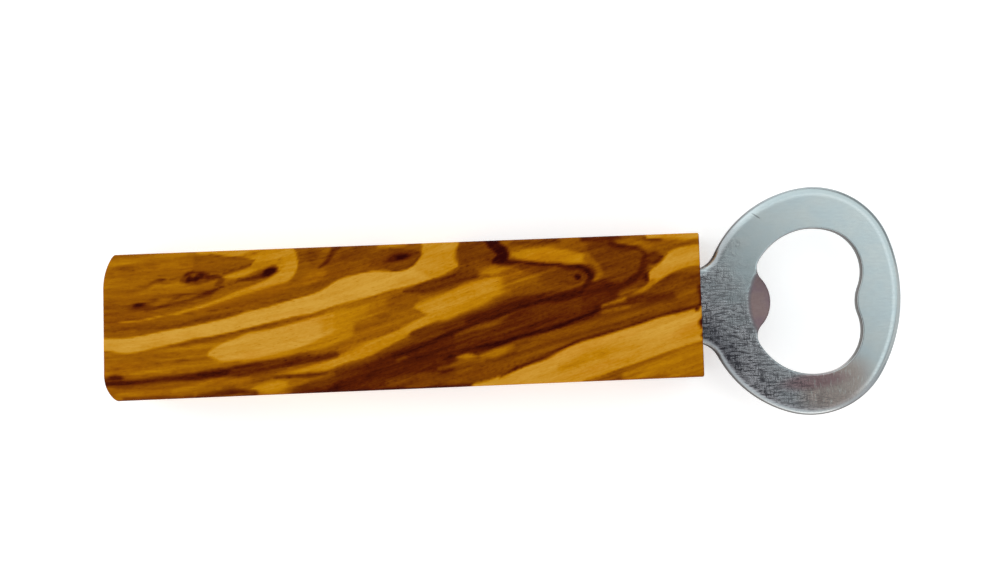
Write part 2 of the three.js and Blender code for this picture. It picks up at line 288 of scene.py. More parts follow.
def lay_middle(band, line, spot):
    band(0.57, 0.9, [(-75, 6.5, 7.6), (-72, 6.8, 9), (-69.6, 8.4, 9.4)])
    band(0.39, 0.8, [(-79, 4.4, 4.9), (-75, 5.2, 5.9), (-71, 6, 7.2), (-67.4, 7.8, 8.4)])
    spot(0.33, (-72, 12), (1.3, 1.3), soft=1.2)
    spot(0.54, (-69.4, 13.1), (0.9, 0.7), soft=0.8)
    line(0.18, 0.9, [(-66.2, 13.8, 1.2), (-67.8, 12.8), (-69, 11), (-71, 9.6, 0.4)], soft=0.6)
    band(0.36, 1.0, [(-66.5, 11, 14), (-62, 10.2, 12.6), (-59, 9.6, 11)])
    band(0.7, 0.8, [(-60, 12.9, 14.4), (-57, 12.8, 14.4), (-54.4, 13.2, 14.4)])
    # The eye
    band(0.33, 0.7, [(-61.5, 9.8, 11), (-59, 9.1, 12.2), (-56, 8.9, 12.6), (-53, 9.6, 12.1),
        (-51.8, 10.8, 11.6)])
    line(0.24, 0.4, [(-57.6, 12.7), (-53.4, 12.2), (-51.8, 11.6), (-52.3, 10.3), (-54.6, 8.9),
        (-57.4, 8.6)])
    line(0.13, 0.7, [(-58.6, 10.4, 0.4), (-57, 10.8), (-55.4, 11.2, 1.4)], soft=0.6)
    spot(0.14, (-55.6, 11.2), (2.1, 0.9), tilt=6, soft=0.8)
    spot(0.02, (-55.2, 11.2), (1.2, 0.5), tilt=6)
    # The dark wedge between the pale band and the gold one
    band(0.3, 0.8, [(-55, 4.6, 5.2), (-50, 4, 6.6), (-46, 5.2, 7.9), (-43.5, 6.3, 9), (-41, 6.6, 7.8)])
    for points in (((-55, 4.7), (-51, 4.8), (-46, 6.2), (-41, 7)), ((-53, 5.6), (-48.6, 6.6), (-45, 8))):
        line(0.2, 0.5, points)
    band(0.47, 1.2, [(-58, 1, 4.4), (-54.6, 1.4, 4.4), (-52, 3, 4.4)])
    line(0.48, 0.6, [(-55, 1), (-52.6, 0.8), (-50.5, 0.2)])
    spot(0.42, (-59.3, 0.2), (1.3, 0.7), soft=1.0)


def lay_light_branches(band, line, spot):
    band(0.84, 0.8, [(-80, -9.9, -9.6), (-76, -9.9, -9.1), (-72, -9.4, -8.1), (-68, -8.6, -6.8),
        (-62, -7.1, -4.6), (-56, -4.2, -2.2), (-50, -1.2, 0.5), (-47, -0.5, 1)])
    band(0.78, 0.9, [(-84.5, -12.6, -12.1), (-80.5, -13.1, -11), (-77, -12.2, -11.1),
        (-73.6, -11.4, -10.9)])
    line(0.5, 1.0, [(-77, -11.6), (-73, -10.9), (-69, -10, 0.5)], soft=1.0, strength=0.8)
    line(0.15, 0.6, [(-79.6, -10.4, 0.5), (-74, -10.3), (-70, -9.8, 0.6)])
    line(0.7, 0.9, [(-106, -8.5, 0.5), (-103, -8.4), (-99, -8.6, 0.5)], soft=0.8)
    line(0.66, 1.0, [(-99, -12.2, 0.5), (-95, -11.2), (-91.6, -10.6, 0.6)], soft=0.8)
    spot(0.68, (-108, -12.1), (2.2, 0.5), soft=0.9)
    # The big gold area with its rounded tip
    band(0.83, 0.9, [(-53.4, 1.5, 2), (-51.4, 0.4, 2.8), (-48, -0.8, 3.9), (-44.6, 0.2, 5.5),
        (-41, 1.7, 6.1), (-37.6, 3.1, 7.2), (-35, 3.9, 7.6)])
    band(0.68, 0.9, [(-41.6, 7.2, 7.6), (-39.6, 7.2, 8.3), (-37, 6.4, 8.8), (-33, 5.6, 8)])
    band(0.54, 2.4, [(-36.6, 3.4, 8.4), (-33, 4.4, 7.6), (-29.6, 5.2, 6.8)])
    spot(0.45, (-40.6, 7.1), (1.5, 0.4), tilt=8)
    spot(0.12, (-41.8, 7), (0.6, 0.3))


def lay_dark_heart(band, line, spot):
    line(0.07, 1.2, [(-111.4, -10.2, 1.1), (-106, -10.4, 1.1), (-101, -10, 0.8), (-96, -9.8),
        (-91, -9.2, 1.4), (-86, -8.9, 1.6), (-82, -8.5, 1.4), (-77, -7.6), (-73, -7.1, 0.7)], soft=1.1)
    band(0.19, 1.1, [(-88, -9.6, -8), (-83, -9.6, -7.3), (-78, -8.8, -7), (-73, -8, -6.5),
        (-68, -6.9, -5.9)])
    line(0.3, 0.9, [(-84, -9.8), (-81, -9.4), (-78, -8.7)], soft=0.9)
    spot(0.17, (-109, -9.3), (1.4, 0.5))
    line(0.22, 1.0, [(-94, -13.4), (-88, -12.8), (-83.6, -13.2)], soft=0.8)
    # painted shade along the rounded lower edge
    line(0.3, 0.5, [(-108, -13.3), (-95, -13.1)])
    line(0.05, 1.3, [(-69.4, -13.4), (-64, -10.5), (-60, -8.8), (-56.5, -7.2, 0.6)], soft=0.9)
    band(0.13, 1.6, [(-68, -13.4, -11), (-60, -12.6, -8), (-52, -12, -5.6), (-46, -11, -4.6)])
    # painted shade along the rounded lower edge
    line(0.03, 0.9, [(-72, -13.6), (-42, -13.6)], soft=0.9)
    band(0.3, 1.0, [(-59, -12.8, -11.6), (-54, -12.6, -10.8), (-49, -12.2, -10.6)])
    spot(0.33, (-56, -7.9), (1.1, 0.4), tilt=25)
    band(0.27, 1.2, [(-54, -4, -2.8), (-48, -3.4, -1.6), (-43, -1.9, -0.6)])
    band(0.13, 1.2, [(-44, -2, -0.8), (-39, -0.8, 0.8), (-34, 1, 2.2), (-28, 1.8, 3.4), (-22, 2.4, 4.2)])
    # The long dark line and the rim that it makes round the last knot
    line(0.05, 0.9, [(-57, -7), (-50, -4.7), (-44, -2.5), (-38, -0.6), (-32, 1.5), (-26, 2.2),
        (-22.2, 3.6), (-20.4, 5.8, 1.4), (-21.8, 7.8), (-25, 8.1, 0.8), (-30, 8.9, 0.6),
        (-34, 9.4, 0.8), (-37.6, 9.5, 1.3)], soft=0.7)
    line(0.38, 0.8, [(-46, -3.8, 0.5), (-42, -2.5), (-38, -1.7), (-34.5, -0.5, 0.4)], soft=0.7)
    spot(0.14, (-35, -1), (2.4, 0.5), tilt=20, soft=0.8)
    spot(0.35, (-24, 6.4), (1.9, 0.9), tilt=-10, soft=1.0)
    line(0.22, 0.35, [(-26, 5.4), (-23.2, 4.9), (-21.6, 6), (-22.4, 7.2), (-25.4, 7.5)])
    spot(0, (-22.9, 6.1), (0.6, 0.5))
    # The vein below it
    line(0.02, 0.9, [(-48, -8.2, 0.4), (-44, -6.8), (-38, -5.6), (-32, -4.1), (-26, -2.5),
        (-20.6, -0.8), (-18.5, 0.9)], soft=0.7)
    band(0.14, 1.2, [(-22, -0.6, 4), (-19, 0.2, 5.4), (-15.6, 1.8, 4.6)])
    line(0.42, 0.8, [(-31, -4.9), (-26, -3.7), (-21, -2.7), (-18.6, -2.2, 0.5)], soft=0.8)
    line(0.22, 0.5, [(-46, -9.5), (-42, -8.4), (-39, -8.7), (-35, -7.6)], soft=0.7)
    line(0.24, 0.5, [(-50, -11.6), (-44, -9.8), (-38, -8.6)], soft=0.7)
    line(0.44, 0.7, [(-49, -9.9), (-45, -8.9), (-41, -8.7)], soft=0.8)
    line(0.66, 1.0, [(-45.4, -7.9, 0.5), (-44, -7.8), (-42.4, -7.8, 0.4)], soft=0.9)
    line(0.62, 1.3, [(-41.2, -8, 0.6), (-38.6, -7.3, 1.2), (-36.8, -6.7, 0.8),
        (-35.4, -6.2, 0.2)], soft=1.1)
    line(0.1, 0.4, [(-46.4, -7.3), (-44, -7.1), (-42.2, -7.3)])


def lay_upper_right(band, line, spot):
    band(0.31, 1.4, [(-45.4, 9.8, 11.4), (-44, 9, 14), (-42, 8.6, 14.6), (-38.2, 9.2, 14.6)])
    spot(0.38, (-41.5, 9.4), (1.4, 0.6), soft=0.9)
    band(0.76, 0.9, [(-35.4, 10.7, 11.3), (-33.4, 10, 11.8), (-30, 9.4, 11.9), (-26, 8.7, 11.5),
        (-22.4, 8.6, 10.5), (-20.6, 8.4, 9.6)])
    line(0.52, 1.0, [(-21.4, 9.5, 1.3), (-19.7, 8.6, 1.2), (-18.9, 6.8), (-19.5, 5.4, 0.5)], soft=0.9)
    line(0.25, 0.5, [(-35, 12.7), (-31, 12.9), (-26, 12.6)], soft=0.7)
    band(0.16, 0.9, [(-22, 12.7, 14), (-18, 12.4, 14), (-14.4, 12.8, 14)])
    line(0.03, 2.3, [(-38.6, 14), (-37.5, 12), (-36.9, 10.4), (-38.6, 9.4, 0.3)], soft=0.7)
    line(0.62, 1.0, [(-15, 12.3, 0.5), (-12, 12.1), (-9.4, 11.4, 0.8)], soft=0.8)
    # The dark red-brown knee with its rim
    line(0.12, 0.7, [(-16.4, 12), (-13, 11.2), (-10.8, 10.3), (-9.7, 9.3)], soft=0.8)
    line(0.1, 1.3, [(-10.4, 9), (-10.8, 6.8), (-13, 5), (-15, 3.8), (-16.4, 2.6)], soft=0.9)
    spot(0.2, (-8.8, 9.2), (1.3, 1.1), tilt=20, soft=0.9)
    line(0.1, 0.6, [(-9.8, 8.3), (-8.6, 8.2), (-7.4, 9.2)])
    spot(0.04, (-10, 5.6), (0.9, 0.5), tilt=30)


def lay_head_end(band, line, spot):
    band(0.86, 0.7, [(-9.8, 5.2, 6), (-8.8, 4.3, 7.2), (-7.6, 4.9, 8.1), (-6.4, 5.5, 9.5),
        (-4.8, 6.4, 10.6), (-1, 7.2, 11.2), (3, 7.4, 11.2)])
    line(0.66, 0.9, [(-9, 4.8, 1.4), (-10.5, 3.3), (-13, 2.1, 0.7), (-16, 1.2, 0.6),
        (-18.4, 0.5, 0.4)], soft=0.6)
    line(0.08, 0.45, [(-17.2, -0.2), (-15, 0.4), (-12, 1.2)])
    line(0.46, 0.6, [(-18.2, -0.6), (-15, -0.1), (-13.4, 0.2)], soft=0.7)
    band(0.5, 0.8, [(-10, 11.4, 12.2), (-5, 11.3, 12.3), (2, 11.3, 12.2)])
    line(0.4, 0.35, [(-8, 11.5), (1, 11.7)])
    band(0.85, 0.6, [(-10, 12.7, 14.4), (-5, 12.4, 14.4), (2, 12.3, 14.4)])
    line(0.2, 0.35, [(-10.4, 12.8), (-9, 12.4), (-7, 12.3)])
    band(0.17, 1.2, [(-14, 0.6, 2), (-9, 0.6, 2.5), (-4.6, 1, 2.4)])
    spot(0.25, (-2, 5.3), (1.6, 0.7), soft=1.0)
    line(0.12, 0.8, [(-0.2, 0.4), (-0.2, 3.4)], soft=0.7)
    # The pale band that leaves at the lower corner
    band(0.87, 0.8, [(-43, -15.6, -13.1), (-38, -15.6, -11.7), (-35, -15.6, -10.6), (-30, -15.2, -9),
        (-24, -14.4, -6.4), (-16, -11.5, -4.1), (-8, -9, -2), (0, -6.6, -0.2), (3, -5.6, 0.6)])
    line(0.96, 2.2, [(-36, -12.2, 0.5), (-30, -10.6), (-24, -7.6, 0.6)], soft=2.0, strength=0.7)
    line(0.96, 2.4, [(-14, -5.2, 0.5), (-8, -4), (-2, -2.6)], soft=2.0, strength=0.8)
    line(0.76, 2.6, [(-26, -10.6, 0.5), (-20, -9.2), (-13, -7.6, 0.5)], soft=2.4)
    line(0.12, 0.6, [(-38, -11.9, 0.4), (-35, -10.5), (-30, -8.7), (-24, -6.2), (-16, -3.9), (-8, -1.8),
        (0, 0)], soft=0.7)
    spot(0.08, (-35, -10.3), (0.6, 0.3), tilt=30)
    line(0.49, 0.7, [(-22, -13.5), (-16, -11.8), (-8, -9.4), (2, -6.8)], soft=0.8)
    band(0.62, 0.8, [(-15, -15.4, -12), (-10, -15.2, -10.4), (-4, -15, -8.2), (2, -15, -6.9)])
    line(0.72, 1.0, [(-12, -12.6, 0.6), (-8, -11), (-4.4, -9.8, 0.5)], soft=0.9)
    # painted shade along the rounded lower edge
    line(0.4, 1.0, [(-20, -13.7), (-8, -13.7), (2, -13.7)], soft=0.8)
    for x, y, size in ((-1, -0.9, (0.4, 0.35)), (-0.2, -3.3, (0.45, 0.9)), (-0.1, -5.7, (0.3, 0.4))):
        spot(0.12, (x, y), size)


# ---- Meshes ----

def add_object(name, data):
    made = bpy.data.objects.new(name, data)
    bpy.context.scene.collection.objects.link(made)
    return made


def make_object(name, vertices, faces):
    """A mesh object from points in the handle's frame, in millimetres."""
    placed = (np.asarray(vertices, float) + (ORIGIN_X, ORIGIN_Y, 0.0)) * MM
    mesh = bpy.data.meshes.new(name)
    mesh.from_pydata(placed.tolist(), [], faces)
    mesh.update()
    made = add_object(name, mesh)
    return made


def read(mesh, name):
    """A vector of every vertex, one to a row."""
    values = np.empty(len(mesh.vertices) * 3)
    mesh.vertices.foreach_get(name, values)
    return values.reshape(-1, 3)


def store(mesh, name, values):
    """Keeps a number or a vector for every vertex, for the materials to read."""
    kind, key = ("FLOAT", "value") if values.ndim == 1 else ("FLOAT_VECTOR", "vector")
    attribute = mesh.attributes.new(name, kind, "POINT")
    attribute.data.foreach_set(key, np.asarray(values, np.float32).ravel())


def shade(made, sharp_deg=40.0):
    made.data.shade_smooth()
    made.data.set_sharp_from_angle(angle=math.radians(sharp_deg))


def lattice_lines(length, edge, cells):
    """Positions along one side of the blank, with extra ones over its rounded edges."""
    near = np.array(EDGE_SHARES[:-1]) * edge
    middle = edge + np.linspace(0.0, 1.0, cells + 1) * (length - 2 * edge)
    return np.concatenate([near, middle, length - near[::-1]])


def box_lattice(lines):
    """Points and quads over the six faces of a block, from the grid lines of its three sides."""
    counts = [len(side) for side in lines]
    index = np.full(counts, -1)
    points, faces = [], []

    def corner(key):
        if index[key] < 0:
            index[key] = len(points)
            points.append([lines[axis][key[axis]] for axis in range(3)])
        return int(index[key])

    for axis in range(3):
        a, b = (axis + 1) % 3, (axis + 2) % 3
        for end in (0, counts[axis] - 1):
            for i in range(counts[a] - 1):
                for j in range(counts[b] - 1):
                    ring = []
                    for di, dj in ((0, 0), (1, 0), (1, 1), (0, 1)):
                        key = [0, 0, 0]
                        key[axis], key[a], key[b] = end, i + di, j + dj
                        ring.append(corner(tuple(key)))
                    faces.append(ring if end else ring[::-1])
    return np.array(points), faces


def rounded(points, size):
    """Moves the points of a block's surface onto rounded edges and corners."""
    edge = np.array(EDGE)
    core = np.clip(points, edge, np.array(size) - edge)
    out = (points - core) / edge
    reach = np.linalg.norm(out, axis=1, keepdims=True)
    return core + out / np.maximum(reach, 1e-9) * edge


def corner_curve(setback, drop, pull, skew):
    """Samples of a butt corner: how far in from the butt, at how far in from the side."""
    t = np.linspace(0.0, 1.0, CORNER_SAMPLES)
    inward = (1 - t) ** 2 * setback + 2 * t * (1 - t) * pull[0] + t**2 * skew
    across = 2 * t * (1 - t) * pull[1] + t**2 * drop
    return across, inward


def butt_face(y):
    """How far the butt face stands in from the end of the handle, at a height y."""
    half = BUTT_WIDTH / 2
    upper_across, upper_inward = corner_curve(*UPPER_CORNER, BUTT_SKEW)
    lower_across, lower_inward = corner_curve(*LOWER_CORNER, 0.0)
    at = np.concatenate([lower_across - half, half - upper_across[::-1]])
    inward = np.concatenate([lower_inward, upper_inward[::-1]])
    return np.interp(y, at, inward)


def obround(width, height):
    """Points round a slot with half-round ends."""
    r = height / 2
    points = []
    for side in (1, -1):
        for i in range(MORTISE_STEPS + 1):
            angle = math.pi * (i / MORTISE_STEPS - 0.5)
            points.append((side * (width / 2 - r + r * math.cos(angle)), side * r * math.sin(angle)))
    return points


def mortise_cutter():
    ring = obround(MORTISE_WIDTH, MORTISE_HEIGHT)
    count = len(ring)
    points = [(x, MORTISE_Y + y, MID_Z + z) for x in (-MORTISE_DEPTH, MORTISE_OVERSHOOT) for y, z in ring]
    faces = [list(range(count))[::-1], list(range(count, 2 * count))]
    for i in range(count):
        j = (i + 1) % count
        faces.append([i, j, count + j, count + i])
    return make_object("mortise_cutter", points, faces)


def make_handle():
    size = (LENGTH, BUTT_WIDTH, THICKNESS)
    lines = [lattice_lines(*side) for side in zip(size, EDGE, CELLS)]
    points, faces = box_lattice(lines)
    x, y, z = rounded(points, size).T
    y = y - BUTT_WIDTH / 2
    along = x / LENGTH
    x = -LENGTH + x + (1 - along) * butt_face(y)
    y = y * (1 + along * (HEAD_WIDTH / BUTT_WIDTH - 1))
    handle = make_object("handle_wood", np.stack([x, y, z], 1), faces)
    cutter = mortise_cutter()
    cut = handle.modifiers.new("mortise", "BOOLEAN")
    cut.operation, cut.object, cut.solver = "DIFFERENCE", cutter, "EXACT"
    cut_mesh = bpy.data.meshes.new_from_object(
        handle.evaluated_get(bpy.context.evaluated_depsgraph_get())
    )
    handle.modifiers.remove(cut)
    handle.data = cut_mesh
    bpy.data.objects.remove(cutter)
    shade(handle)
    return handle


# ---- Outlines of the opener head, about its own centre line ----

def angle_of(a, b):
    return math.atan2(b[1] - a[1], b[0] - a[0])


def arc(circle, start, end, clockwise=False, spacing=0.55):
    """Points along an arc, both ends in. The count depends on the circle before any offset."""
    x, y, r, grow = circle
    turn = (end - start) % (2 * math.pi)
    if clockwise:
        turn -= 2 * math.pi
    count = max(3, round(abs(turn) * r / spacing))
    angles = [start + turn * i / count for i in range(count + 1)]
    return [(x + (r + grow) * math.cos(a), y + (r + grow) * math.sin(a)) for a in angles]


def turned(circle):
    turn = math.radians(RING_TURN_DEG)
    x, y = circle[0] - RING_BACK_X, circle[1]
    moved = (x * math.cos(turn) - y * math.sin(turn), x * math.sin(turn) + y * math.cos(turn))
    return (RING_BACK_X + moved[0], moved[1], circle[2])


def ring_circles():
    """The circles of the ring: back, front, left and right."""
    to_back, to_front = RING_BACK_R - RING_SHOULDER_R, RING_FRONT_R - RING_SHOULDER_R
    x = (to_back**2 - to_front**2 + RING_FRONT_X**2 - RING_BACK_X**2) / (2 * (RING_FRONT_X - RING_BACK_X))
    y = math.sqrt(to_back**2 - (x - RING_BACK_X) ** 2)
    back = (RING_BACK_X, 0.0, RING_BACK_R)
    rest = (RING_FRONT_X, 0.0, RING_FRONT_R), (x, y, RING_SHOULDER_R), (x, -y, RING_SHOULDER_R)
    return [back] + [turned(circle) for circle in rest]


def neck_fillet(side):
    edge_y = NECK_OFFSET + side * NECK_WIDTH / 2
    y = edge_y + side * NECK_FILLET_R
    reach = RING_BACK_R + NECK_FILLET_R
    return (RING_BACK_X - math.sqrt(reach**2 - y**2), y, NECK_FILLET_R), edge_y


def without_repeats(points):
    kept = []
    for point in points:
        if not kept or math.dist(point, kept[-1]) > 1e-4:
            kept.append(point)
    return kept[:-1] if math.dist(kept[0], kept[-1]) < 1e-4 else kept


def head_loop(grow):
    """The outside of the head, anticlockwise, moved out by grow."""
    back, front, left, right = ring_circles()
    lower, lower_y = neck_fillet(-1)
    upper, upper_y = neck_fillet(1)
    half_tang = TANG_WIDTH / 2 + grow
    bottom, top = NECK_OFFSET - half_tang, NECK_OFFSET + half_tang
    r = TANG_CORNER_R
    corner_x = r - TANG_LENGTH
    points = [(corner_x, bottom), (NECK_ROOT_X - TANG_TAPER, bottom), (NECK_ROOT_X, lower_y - grow)]
    points += arc((*lower, -grow), math.pi / 2, angle_of(lower, back), clockwise=True)
    touching = (back, lower), (back, right), (front, right), (front, left), (back, left), (back, upper)
    turns = [angle_of(*pair) for pair in touching]
    for circle, start, end in zip((back, right, front, left, back), turns, turns[1:]):
        points += arc((*circle, grow), start, end)
    points += arc((*upper, -grow), angle_of(upper, back), -math.pi / 2, clockwise=True)
    points += [(NECK_ROOT_X, upper_y + grow), (NECK_ROOT_X - TANG_TAPER, top), (corner_x, top)]
    points += arc((corner_x, NECK_OFFSET + TANG_WIDTH / 2 - r, r, grow), math.pi / 2, math.pi)
    points += arc((corner_x, NECK_OFFSET - TANG_WIDTH / 2 + r, r, grow), math.pi, 1.5 * math.pi)
    return without_repeats(points)


def opening_loop(grow):
    """The cap opening with its tongue, clockwise, made larger by grow."""
    tongue = (TONGUE_X, 0.0, TONGUE_R)
    lobe_y = math.sqrt((TONGUE_R + LOBE_R) ** 2 - (LOBE_X - TONGUE_X) ** 2)
    reach = math.hypot(CROWN_X - LOBE_X, CROWN_Y - lobe_y)
    crown_r = LOBE_R + reach
    turn = math.radians(FRONT_LOBE_DEG)
    front_x = CROWN_X + (crown_r - FRONT_LOBE_R) * math.cos(turn)
    front_y = CROWN_Y + (crown_r - FRONT_LOBE_R) * math.sin(turn)
    rest = (CAP_REST_X, 0.0, math.hypot(CAP_REST_X - front_x, front_y) - FRONT_LOBE_R)
    lobe = (LOBE_X, lobe_y, LOBE_R)
    crown = (CROWN_X, CROWN_Y, crown_r)
    front = (front_x, front_y, FRONT_LOBE_R)
    rest_angle = angle_of(rest, front)
    turns = angle_of(lobe, tongue), angle_of(crown, lobe), angle_of(crown, front), rest_angle - math.pi
    half = list(zip((lobe, crown, front), turns, turns[1:]))
    points = []
    for circle, start, end in half:
        points += arc((*circle, grow), start, end, clockwise=True)
    points += arc((*rest, -grow), rest_angle, -rest_angle)
    for (x, y, r), start, end in half[::-1]:
        points += arc((x, -y, r, grow), -end, -start, clockwise=True)
    tip = angle_of(tongue, (LOBE_X, -lobe_y))
    points += arc((*tongue, -grow), tip, -tip)
    return without_repeats(points)


def hole_loop(x, grow):
    r = TANG_HOLE_R + grow
    steps = [-2 * math.pi * i / TANG_HOLE_SIDES for i in range(TANG_HOLE_SIDES)]
    return [(x + r * math.cos(a), NECK_OFFSET + r * math.sin(a)) for a in steps]


def edge_profile(top, top_depth, bottom):
    """Pairs of (how far in from the outline, height from the plate's middle), bottom to top."""
    half = PLATE_THICKNESS / 2
    steps = [math.pi / 2 * i / EDGE_STEPS for i in range(EDGE_STEPS + 1)]
    lower = [(bottom * (1 - math.sin(a)), bottom * (1 - math.cos(a)) - half) for a in steps]
    upper = [(top * (1 - math.cos(a)), half - top_depth * (1 - math.sin(a))) for a in steps]
    return [(bottom + CAP_INSET, -half)] + lower + upper + [(top + CAP_INSET, half)]


def inside_loop(loop, x, y):
    """Whether points lie inside a closed loop."""
    px, py = np.array(loop).T
    qx, qy = np.roll(px, -1), np.roll(py, -1)
    x, y = np.asarray(x)[:, None], np.asarray(y)[:, None]
    crosses = (py > y) != (qy > y)
    with np.errstate(divide="ignore", invalid="ignore"):
        at = px + (y - py) * (qx - px) / (qy - py)
    return (crosses & (x < at)).sum(1) % 2 == 1


def offset_grid(low, high, spacing):
    """Points over a rectangle, each row half a step along from the one before it."""
    grid = []
    for i, y in enumerate(np.arange(low[1], high[1], spacing * math.sqrt(3) / 2)):
        shift = spacing / 2 * (i % 2)
        grid += [(x, y) for x in np.arange(low[0] + shift, high[0], spacing)]
    return np.array(grid)


def by_the_tongue(points):
    x, y = points.T
    near = np.abs(y) < TONGUE_HALF_WIDTH + TONGUE_PAD
    return (x > TONGUE_ROOT_X - TONGUE_PAD) & (x < TONGUE_END_X) & near


def on_the_plate(loops, points):
    """Whether points lie inside the first loop and outside the holes."""
    inside = inside_loop(loops[0], *points.T)
    for hole in loops[1:]:
        inside &= ~inside_loop(hole, *points.T)
    return inside


def cap_fill(loops):
    """Triangles over the flat between the first loop and the holes, with a fine grid inside."""
    rim = np.array([point for loop in loops for point in loop])
    low, high = rim.min(0), rim.max(0)
    coarse, fine = offset_grid(low, high, PLATE_GRID), offset_grid(low, high, TONGUE_GRID)
    grid = np.vstack([coarse[~by_the_tongue(coarse)], fine[by_the_tongue(fine)]])
    grid = grid[on_the_plate(loops, grid)]
    near = np.array([np.hypot(*(rim - point).T).min() for point in grid])
    grid = grid[near > np.where(by_the_tongue(grid), TONGUE_GRID, PLATE_GRID) * GRID_CLEARANCE]
    points = np.vstack([rim, grid])
    edges, start = [], 0
    for loop in loops:
        edges += [(start + i, start + (i + 1) % len(loop)) for i in range(len(loop))]
        start += len(loop)
    made = delaunay_2d_cdt([Vector(p) for p in points.tolist()], edges, [], 0, 1e-6)
    triangles = np.array([list(face) for face in made[2]])
    source = np.array([origin[0] for origin in made[3]])
    triangles = source[triangles]
    return grid, triangles[on_the_plate(loops, points[triangles].mean(1))]


def bend_tongue(points):
    """Bends the tongue down from its bowed root."""
    x, y, z = points.T
    root = TONGUE_ROOT_X + TONGUE_ROOT_BOW * (y / TONGUE_HALF_WIDTH) ** 2
    on_it = (np.abs(y) < TONGUE_HALF_WIDTH + TONGUE_MARGIN) & (x < TONGUE_END_X)
    past = np.maximum(np.where(on_it, x - root, 0.0), 0.0)
    rise = math.tan(math.radians(TONGUE_BEND_DEG))
    curved = past**2 / (2 * TONGUE_BEND_LENGTH)
    drop = np.where(past < TONGUE_BEND_LENGTH, curved, past - TONGUE_BEND_LENGTH / 2) * rise
    return np.stack([x, y, z - drop], 1), past / TONGUE_BEND_LENGTH


def seated(points):
    """From the head's centre line to where it sits in the handle."""
    turn = math.radians(SKEW_DEG)
    x, y, z = points.T
    x = x - PIVOT[0]
    return np.stack([
        PIVOT[0] + x * math.cos(turn) - y * math.sin(turn),
        PIVOT[1] + x * math.sin(turn) + y * math.cos(turn),
        z + MID_Z,
    ], 1)


def store_edges(mesh):
    """Marks the rolled rim for a painted highlight on all but the upper right and for painted shade on the
    far side, and the cut walls all round, darker as cut steel and darkest on the lower left as painted
    shade.
    """
    x, y, z = read(mesh, "normal").T
    facing = (x * SHADED_SIDE[0] + y * SHADED_SIDE[1]) / np.maximum(np.hypot(x, y), 1e-6)
    steep = ease((WALL_STEEPNESS + WALL_LEAN * facing - np.abs(z)) / WALL_FADE)
    # the cut walls: darker as cut steel all round, and darkest on the lower left as painted shade
    store(mesh, "wall", steep * (0.3 + 0.7 * ease((facing + 0.5) / 0.8)))
    rolled = np.where(z > 0, ease((RIM_START - z) / RIM_FADE), 0.0)
    # painted highlight on the rolled rim, fading out towards the upper right
    store(mesh, "rim", rolled * ease((facing + 0.6) / 0.6))
    turned_down = np.where(z > 0, ease((FAR_RIM_START - z) / FAR_RIM_FADE), 0.0)
    # painted shade on the rolled rim of the upper right
    store(mesh, "far_rim_shade", turned_down * ease((0.1 - facing) / 0.5))


def make_head():
    outer = edge_profile(TOP_EDGE, TOP_EDGE_DEPTH, BOTTOM_EDGE)
    inner = edge_profile(OPENING_EDGE, OPENING_EDGE, OPENING_EDGE)
    walls = [[(head_loop(-inset - OUTLINE_INSET), z) for inset, z in outer]]
    walls.append([(opening_loop(inset), z) for inset, z in inner])
    for x in TANG_HOLES_X:
        walls.append([(hole_loop(x, inset), z) for inset, z in inner])
    points, faces, ends = [], [], []
    for wall in walls:
        count = len(wall[0][0])
        start = len(points)
        for loop, z in wall:
            points += [(x, y, z) for x, y in loop]
        for level in range(len(wall) - 1):
            for i in range(count):
                j = (i + 1) % count
                a = start + level * count
                faces.append([a + i, a + j, a + count + j, a + count + i])
        ends.append((start, start + (len(wall) - 1) * count, count))
    for top in (False, True):
        loops = [wall[-1 if top else 0][0] for wall in walls]
        rim = [end[1 if top else 0] + i for end in ends for i in range(end[2])]
        grid, triangles = cap_fill(loops)
        z = PLATE_THICKNESS / 2 if top else -PLATE_THICKNESS / 2
        number = rim + list(range(len(points), len(points) + len(grid)))
        points += [(x, y, z) for x, y in grid]
        for a, b, c in triangles.tolist():
            faces.append([number[a], number[b], number[c]] if top else [number[c], number[b], number[a]])
    bent, past = bend_tongue(np.array(points))
    head = make_object("opener_head_steel", seated(bent), faces)
    # painted reflection: a reddish tint over the tongue where it tilts down
    store(head.data, "tongue", ease(past))
    # painted shade along the tongue's bend line
    store(head.data, "bend", ease(past / 0.3) * (1 - ease((past - 0.7) / 0.5)))
    store_edges(head.data)
    shade(head, 60.0)
    return head


# ---- Material nodes ----

